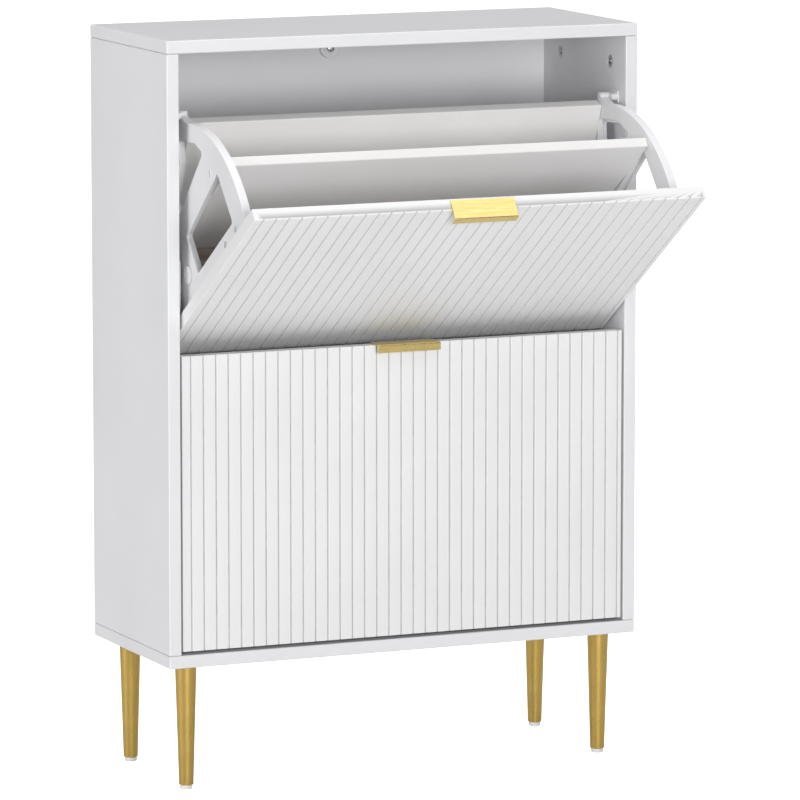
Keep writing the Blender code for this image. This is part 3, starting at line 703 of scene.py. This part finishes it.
bracketShape = {
    "arc": ((0.0, -0.162), (0.494, -0.232), (0.926, -0.573)),
    "rearEdgeBottom": 0.493,
    "frontWindow": ((0.111, -0.283), (0.436, -0.315), (0.358, -0.760), (0.114, -0.735)),
    "rearWindow": (
        (0.622, -0.408), (0.725, -0.466), (0.842, -0.612), (0.735, -0.655), (0.600, -0.800), (0.505, -0.775),
    ),
    "slots": ((0.062, -0.268), (0.058, -0.400), (0.478, -0.383)),
    "belowSeat": 0.027,
    "windowCorner": 0.004,
    "slotWidth": 0.0026,
    "slotLength": 0.007,
    "padEdge": 0.0016,
    "padRise": 0.0007,
    "hornRadius": 0.0045,
    "hornRise": 0.010,
    "lugRadius": 0.004,
    "pegRadius": 0.00425,
    "boreRadius": 0.0043,
    "edge": 0.0008,
    "wall": 0.0030,
    "ledge": 0.0045,
}


def circleThrough(a, b, c):
    (ax, ay), (bx, by), (cx, cy) = a, b, c
    d = 2 * (ax * (by - cy) + bx * (cy - ay) + cx * (ay - by))
    aa, bb, cc = ax**2 + ay**2, bx**2 + by**2, cx**2 + cy**2
    x = (aa * (by - cy) + bb * (cy - ay) + cc * (ay - by)) / d
    y = (aa * (cx - bx) + bb * (ax - cx) + cc * (bx - ax)) / d
    return (x, y), hypot(ax - x, ay - y)


def roundedOutline(corners, radius, steps):
    points = []
    count = len(corners)
    for index, corner in enumerate(corners):
        here = Vector(corner)
        toLast = (Vector(corners[index - 1]) - here).normalized()
        toNext = (Vector(corners[(index + 1) % count]) - here).normalized()
        half = toLast.angle(toNext) / 2
        centre = here + (toLast + toNext).normalized() * radius / sin(half)
        start = here + toLast * radius / tan(half) - centre
        finish = here + toNext * radius / tan(half) - centre
        sweep = start.angle_signed(finish)
        for step in range(steps + 1):
            angle = atan2(start.y, start.x) - sweep * step / steps
            points.append((centre.x + radius * cos(angle), centre.y + radius * sin(angle)))
    return points


def widened(corners, by):
    # each corner moved out along its own half angle, so that every side moves the same way
    moved = []
    count = len(corners)
    for index, here in enumerate(corners):
        toLast = (corners[index - 1] - here).normalized()
        toNext = (corners[(index + 1) % count] - here).normalized()
        half = toLast.angle(toNext) / 2
        inward = (toLast + toNext).normalized()
        outwardTurn = toLast.x * toNext.y - toLast.y * toNext.x
        moved.append(here - inward * by / sin(half) * (1 if outwardTurn > 0 else -1))
    return moved


def trayLayout(body, matrix):
    # the drawer's own (y, z) places: across the tray from the door, down to the seat
    name = body.replace("_drawer", "")
    doorBack, doorTop = (localBox(name + "_door", matrix)[1][axis] for axis in (1, 2))
    seat = localBox(name + "_seat_board", matrix)[1].z
    shutMatrix = drawerMatrix("lower_drawer")
    shutBack = (shutMatrix @ localBox("lower_door", shutMatrix)[1]).y
    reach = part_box("back_panel")[0].y - shutBack
    drop = doorTop - seat

    def at(share):
        return (doorBack + share[0] * reach, doorTop + share[1] * drop)

    return at, doorBack, seat


def stopAngles(arcCentre, arcRadius, doorBack, openAngle):
    # the horn meets its peg when the drawer is open, and the door does when it is shut
    def arcDistance(angle):
        along = arcCentre[0] * sin(angle) + arcCentre[1] * cos(angle)
        return along + sqrt(along**2 + arcRadius**2 - arcCentre[0] ** 2 - arcCentre[1] ** 2)

    radius = arcRadius
    pegReach = doorBack + hairGap + bracketShape["pegRadius"]
    for _ in range(8):
        between = (bracketShape["pegRadius"] + bracketShape["lugRadius"] + hairGap) / radius
        hornAngle = asin(pegReach / radius) + between + openAngle
        radius = arcDistance(hornAngle) + bracketShape["hornRise"]
    return radius, hornAngle, arcDistance


def bracketOutline(at, doorBack, seat, openAngle):
    shape = bracketShape
    arcCentre, arcRadius = circleThrough(*[at(share) for share in shape["arc"]])
    radius, hornAngle, arcDistance = stopAngles(arcCentre, arcRadius, doorBack, openAngle)
    cy, cz = arcCentre
    front = doorBack + hairGap
    low = seat - shape["belowSeat"]
    start = atan2(sqrt(arcRadius**2 - (front - cy) ** 2), front - cy)
    footAngle = hornAngle - 0.10
    reach = arcDistance(footAngle)
    end = atan2(reach * cos(footAngle) - cz, reach * sin(footAngle) - cy)
    tip = pi / 2 - hornAngle
    horn = (radius * sin(hornAngle), radius * cos(hornAngle))
    rearTop = at(shape["arc"][2])
    rearBottom = at((shape["rearEdgeBottom"], 0))[0]
    points = [(front, low)]
    points += arcPoints(arcCentre, arcRadius, start, end, 56)
    points += arcPoints(horn, shape["hornRadius"], tip + 1.75, tip - 1.45, 14)
    points.append((rearTop[0], rearTop[1] - 0.004))
    points += arcPoints((rearBottom - 0.010, low + 0.008), 0.008, radians(-20), radians(-90), 8)
    return points, horn


def pillar(name, radius, start, end, spot, steps=40):
    # a round solid along X between two places, at a (y, z) spot
    tool = turnProfile(name, [(0, end - start), (radius, end - start), (radius, 0), (0, 0)], steps)
    tool.matrix_world = Matrix.Translation((start, *spot)) @ Matrix.Rotation(pi / 2, 4, "Y")
    return tool


def slotRing(spot, grow, corner, lean):
    # a small upright slot, or the pad round it, once the drawer leans out
    wide = bracketShape["slotWidth"] / 2 + grow
    tall = bracketShape["slotLength"] / 2 + grow
    ring = []
    for y, z in roundedOutline([(-wide, -tall), (wide, -tall), (wide, tall), (-wide, tall)], corner, 4):
        ring.append((spot[0] + y * cos(lean) + z * sin(lean), spot[1] - y * sin(lean) + z * cos(lean)))
    return ring


def makeBracket(body, side, sign):
    name = body.replace("_drawer", "")
    node = f"{name}_bracket_{side}"
    matrix = drawerMatrix(body)
    low, high = localBox(node, matrix)
    at, doorBack, seat = trayLayout(body, matrix)
    travel = joints[body]["range_deg"]
    openAngle = radians(travel[1] - travel[0])
    outline, horn = bracketOutline(at, doorBack, seat, openAngle)
    capLow, capHigh = localBox(f"{name}_bracket_cap_{side}", matrix)
    boardHigh = localBox(f"{name}_seat_board", matrix)[1]
    inner = sign * (boardHigh.x + hairGap)
    outer = (capLow.x if sign > 0 else capHigh.x) - sign * hairGap
    ends = sorted((inner, outer))
    lugEnd = high.x if sign > 0 else low.x
    wide = (ends[0] - 0.002, ends[1] + 0.002)
    plate = extrudeOutline(node + "_plate", outline, *ends)
    for label in ("frontWindow", "rearWindow"):
        corners = [Vector(at(share)) for share in bracketShape[label]]
        outline = roundedOutline(corners, bracketShape["windowCorner"], 7)
        cutAway(plate, extrudeOutline(f"{node}_{label}", outline, *wide))
        outline = roundedOutline(widened(corners, bracketShape["ledge"]), bracketShape["windowCorner"], 7)
        hollow = sorted((inner - sign * 0.002, outer - sign * bracketShape["wall"]))
        cutAway(plate, extrudeOutline(f"{node}_{label}_hollow", outline, *hollow))
    cutAway(plate, pillar(node + "_bore", bracketShape["boreRadius"], *wide, (0, 0)))
    pads = []
    for index, share in enumerate(bracketShape["slots"]):
        y, z = at(share)
        ring = slotRing((y, z), 0.0, 0.0006, openAngle)
        padRing = slotRing((y, z), bracketShape["padEdge"], 0.0014, openAngle)
        padEnds = sorted((outer - sign * 0.0002, outer + sign * bracketShape["padRise"]))
        pad = extrudeOutline(f"{node}_pad_{index}", padRing, *padEnds)
        hole = extrudeOutline(f"{node}_slot_{index}", ring, *wide)
        cutAway(plate, hole)
        padHole = extrudeOutline(f"{node}_pad_slot_{index}", ring, *wide)
        cutAway(pad, padHole)
        pads.append(pad)
    applyAll(plate)
    roundEdges(plate, bracketShape["edge"], 3, 40.0)
    smoothOut(plate, 30.0)
    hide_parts(node)
    settle(plate, node, matrix)
    for pad in pads:
        applyAll(pad)
        roundEdges(pad, 0.00025, 2, 40.0)
        smoothOut(pad, 30.0)
        settle(pad, node, matrix)
    lug = pillar(node + "_lug", bracketShape["lugRadius"], *sorted((outer - sign * 0.004, lugEnd)), horn)
    roundEdges(lug, 0.0006, 3)
    smoothOut(lug)
    settle(lug, node, matrix @ lug.matrix_world)
    makeCap(f"{name}_bracket_cap_{side}", matrix, sign)


def makeCap(node, matrix, sign):
    low, high = localBox(node, matrix)
    radius = (high.z - low.z) / 2
    thick = high.x - low.x
    rim = 0.0008
    profile = [(0, thick - 0.0006), (radius * 0.30, thick - 0.0006), (radius * 0.36, thick - 0.0001)]
    profile += [(radius * 0.42, thick)]
    profile += roundCorner((radius - rim, thick - rim), rim, 90, 4)
    profile += [(radius, 0), (0, 0)]
    cap = turnProfile(node + "_disc", profile, 56)
    smoothOut(cap, 35.0)
    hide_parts(node)
    middle = (low + high) / 2
    base = low.x if sign > 0 else high.x
    place = Matrix.Translation((base, middle.y, middle.z)) @ Matrix.Rotation(sign * pi / 2, 4, "Y")
    settle(cap, node, matrix @ place)


# Metal fittings inside: cam locks in the sides, and the screw in the wall boss

camShape = {
    "edge": 0.0005,
    "slotWidth": 0.0019,
    "slotDepth": 0.0028,
    "slotReach": 0.68,
    "dish": 0.0006,
    "fineWidth": 0.0011,
    "fineReach": 0.55,
}


def crossTool(name, reach, width, depth):
    # one plus-shaped outline, since two crossing boxes would leave nothing of what they cut
    half = width / 2
    quarter = [(reach, -half), (reach, half), (half, half)]
    outline = []
    for alongX, alongY in ((1, 0), (0, 1), (-1, 0), (0, -1)):
        outline += [(x * alongX - y * alongY, x * alongY + y * alongX) for x, y in quarter]
    bm = bmesh.new()
    low = [bm.verts.new((x, y, -depth)) for x, y in outline]
    high = [bm.verts.new((x, y, depth)) for x, y in outline]
    for index, spot in enumerate(low):
        after = (index + 1) % len(low)
        bm.faces.new((spot, low[after], high[after], high[index]))
    bm.faces.new(low)
    bm.faces.new(high)
    return toObject(name, bm)


def makeCamLock(node):
    low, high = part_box(node)
    middle = (low + high) / 2
    radius = (high.z - low.z) / 2
    length = high.x - low.x
    sign = 1 if middle.x < 0 else -1
    dish = camShape["dish"]
    profile = [(0, length - dish), (radius * 0.70, length - dish), (radius * 0.76, length)]
    profile += roundCorner((radius - camShape["edge"], length - camShape["edge"]), camShape["edge"], 90, 3)
    profile += [(radius, 0), (0, 0)]
    cam = turnProfile(node + "_disc", profile, 56)
    crosses = (
        ("wide", camShape["slotWidth"], camShape["slotReach"]),
        ("fine", camShape["fineWidth"], camShape["fineReach"]),
    )
    for label, width, reach in crosses:
        tool = crossTool(f"{node}_{label}_cross", radius * reach, width, camShape["slotDepth"])
        turn = 0 if label == "wide" else pi / 4
        tool.matrix_world = Matrix.Translation((0, 0, length)) @ Matrix.Rotation(turn, 4, "Z")
        cutAway(cam, tool)
    applyAll(cam)
    smoothOut(cam, 30.0)
    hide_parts(node)
    face = high.x if sign > 0 else low.x
    turned = Matrix.Rotation(sign * pi / 2, 4, "Y")
    place = Matrix.Translation((face - sign * length, middle.y, middle.z)) @ turned
    settle(cam, node, place)


wallShape = {
    "edge": 0.0014,
    "dish": 0.0012,
    "ring": 0.0005,
    "headRise": 0.0024,
    "headRadius": 0.0045,
    "crossWidth": 0.0010,
}


def makeWallFixing():
    low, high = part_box("wall_boss")
    middle = (low + high) / 2
    radius = (high.x - low.x) / 2
    thick = high.y - low.y
    edge = wallShape["edge"]
    dish = thick - wallShape["dish"]
    profile = [(0, dish), (radius * 0.45, dish), (radius * 0.50, thick - wallShape["ring"])]
    profile += [(radius * 0.58, thick)]
    profile += roundCorner((radius - edge, thick - edge), edge, 90, 6)
    profile += [(radius, 0), (0, 0)]
    boss = turnProfile("wall_boss_disc", profile, 64)
    smoothOut(boss, 32.0)
    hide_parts("wall_boss")
    turned = Matrix.Rotation(pi / 2, 4, "X")
    settle(boss, "wall_boss", Matrix.Translation((middle.x, high.y, middle.z)) @ turned)
    screwLow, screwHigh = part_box("wall_screw")
    headRadius = wallShape["headRadius"]
    rise = wallShape["headRise"]
    shank = screwHigh.y - screwLow.y - rise
    profile = [(0, rise)]
    for step in range(1, 9):
        a = pi / 2 * step / 8
        profile.append((headRadius * sin(a), rise * (0.35 + 0.65 * cos(a))))
    profile += [(headRadius, 0), (0.002, 0), (0.002, -shank), (0, -shank)]
    screw = turnProfile("wall_screw_round", profile, 40)
    tool = crossTool("wall_screw_cross", headRadius * 0.5, wallShape["crossWidth"], 0.0012)
    tool.location = (0, 0, rise)
    cutAway(screw, tool)
    applyAll(screw)
    smoothOut(screw, 30.0)
    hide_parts("wall_screw")
    settle(screw, "wall_screw", Matrix.Translation((middle.x, screwLow.y + rise, middle.z)) @ turned)


for body in ("upper_drawer", "lower_drawer"):
    makeDoor(body)
    makePull(body)
    for side, sign in (("left", -1), ("right", 1)):
        makeBracket(body, side, sign)
    print("drawer finished:", body)
for end in ("front", "rear"):
    for side in ("left", "right"):
        makeLeg(f"leg_{end}_{side}")
        makeCamLock(f"cam_lock_{side}_{end}")
makeWallFixing()
print("legs and fittings finished")


# Floor, light and camera

studio = {
    "floorSize": 60.0,
    "floorColour": (0.50, 0.50, 0.50),
    "floorGlow": 0.22,
    "seenGlow": 0.95,
    "skyStrength": 0.20,
    "seenSky": 1.05,
}


def makeStudio():
    bm = bmesh.new()
    bmesh.ops.create_grid(bm, x_segments=2, y_segments=2, size=studio["floorSize"] / 2)
    floor = toObject("floor", bm)
    floor.location = (0, 0, cadLow.z - 0.0002)
    material, tree, shader = newMaterial("floor")
    shader.inputs["Base Color"].default_value = (*studio["floorColour"], 1.0)
    shader.inputs["Roughness"].default_value = 0.9
    shader.inputs["Specular IOR Level"].default_value = 0.1
    # the floor is a lit sweep, which looks brighter than the light it throws back
    shader.inputs["Emission Strength"].default_value = 1.0
    path = addNode(tree, "ShaderNodeLightPath")
    cast = studio["floorGlow"]
    glow = remap(tree, path.outputs["Is Camera Ray"], 0.0, 1.0, cast, cast + studio["seenGlow"])
    tree.links.new(glow, shader.inputs["Emission Color"])
    floor.data.materials.append(material)
    world = bpy.data.worlds.new("studio")
    world.use_nodes = True
    sky = world.node_tree.nodes["Background"]
    tree = world.node_tree
    path = addNode(tree, "ShaderNodeLightPath")
    seen = remap(tree, path.outputs["Is Camera Ray"], 0.0, 1.0, studio["skyStrength"], studio["seenSky"])
    tree.links.new(seen, sky.inputs["Color"])
    bpy.context.scene.world = world


lamps = {
    "frontBox": {"place": (-0.7, -4.2, 1.05), "size": 1.4, "watts": 100.0},
    "leftBox": {"place": (-4.2, -0.1, 1.2), "size": 2.6, "watts": 77.0},
    "topBox": {"place": (0.3, 0.2, 4.0), "size": 3.0, "watts": 80.0},
    "glintBox": {"place": (1.66, -2.2, 4.0), "size": 1.8, "watts": 13.0},
}


def makeLamps(middle):
    for name, lamp in lamps.items():
        data = bpy.data.lights.new(name, "AREA")
        data.shape = "DISK"
        data.size = lamp["size"]
        data.energy = lamp["watts"]
        thing = bpy.data.objects.new(name, data)
        thing.location = lamp["place"]
        toward = middle - thing.location
        thing.rotation_mode = "QUATERNION"
        thing.rotation_quaternion = toward.to_track_quat("-Z", "Y")
        bpy.context.scene.collection.objects.link(thing)


viewpoint = {
    "azimuth": -23.795,
    "elevation": 8.372,
    "distance": 7.614,
    "lens": 287.05,
    "lookAt": (0.04036, 0.10093, 0.43237),
}


def makeCamera():
    data = bpy.data.cameras.new("camera")
    data.lens = viewpoint["lens"]
    data.sensor_width = 36.0
    data.clip_end = 200.0
    thing = bpy.data.objects.new("camera", data)
    turn, rise = radians(viewpoint["azimuth"]), radians(viewpoint["elevation"])
    back = Vector((sin(turn) * cos(rise), -cos(turn) * cos(rise), sin(rise)))
    thing.location = Vector(viewpoint["lookAt"]) + back * viewpoint["distance"]
    thing.rotation_mode = "QUATERNION"
    thing.rotation_quaternion = (-back).to_track_quat("-Z", "Y")
    bpy.context.scene.collection.objects.link(thing)
    bpy.context.scene.camera = thing


makeStudio()
makeLamps((cadLow + cadHigh) / 2)
makeCamera()
bpy.context.scene.view_settings.view_transform = "Standard"
print("studio ready")
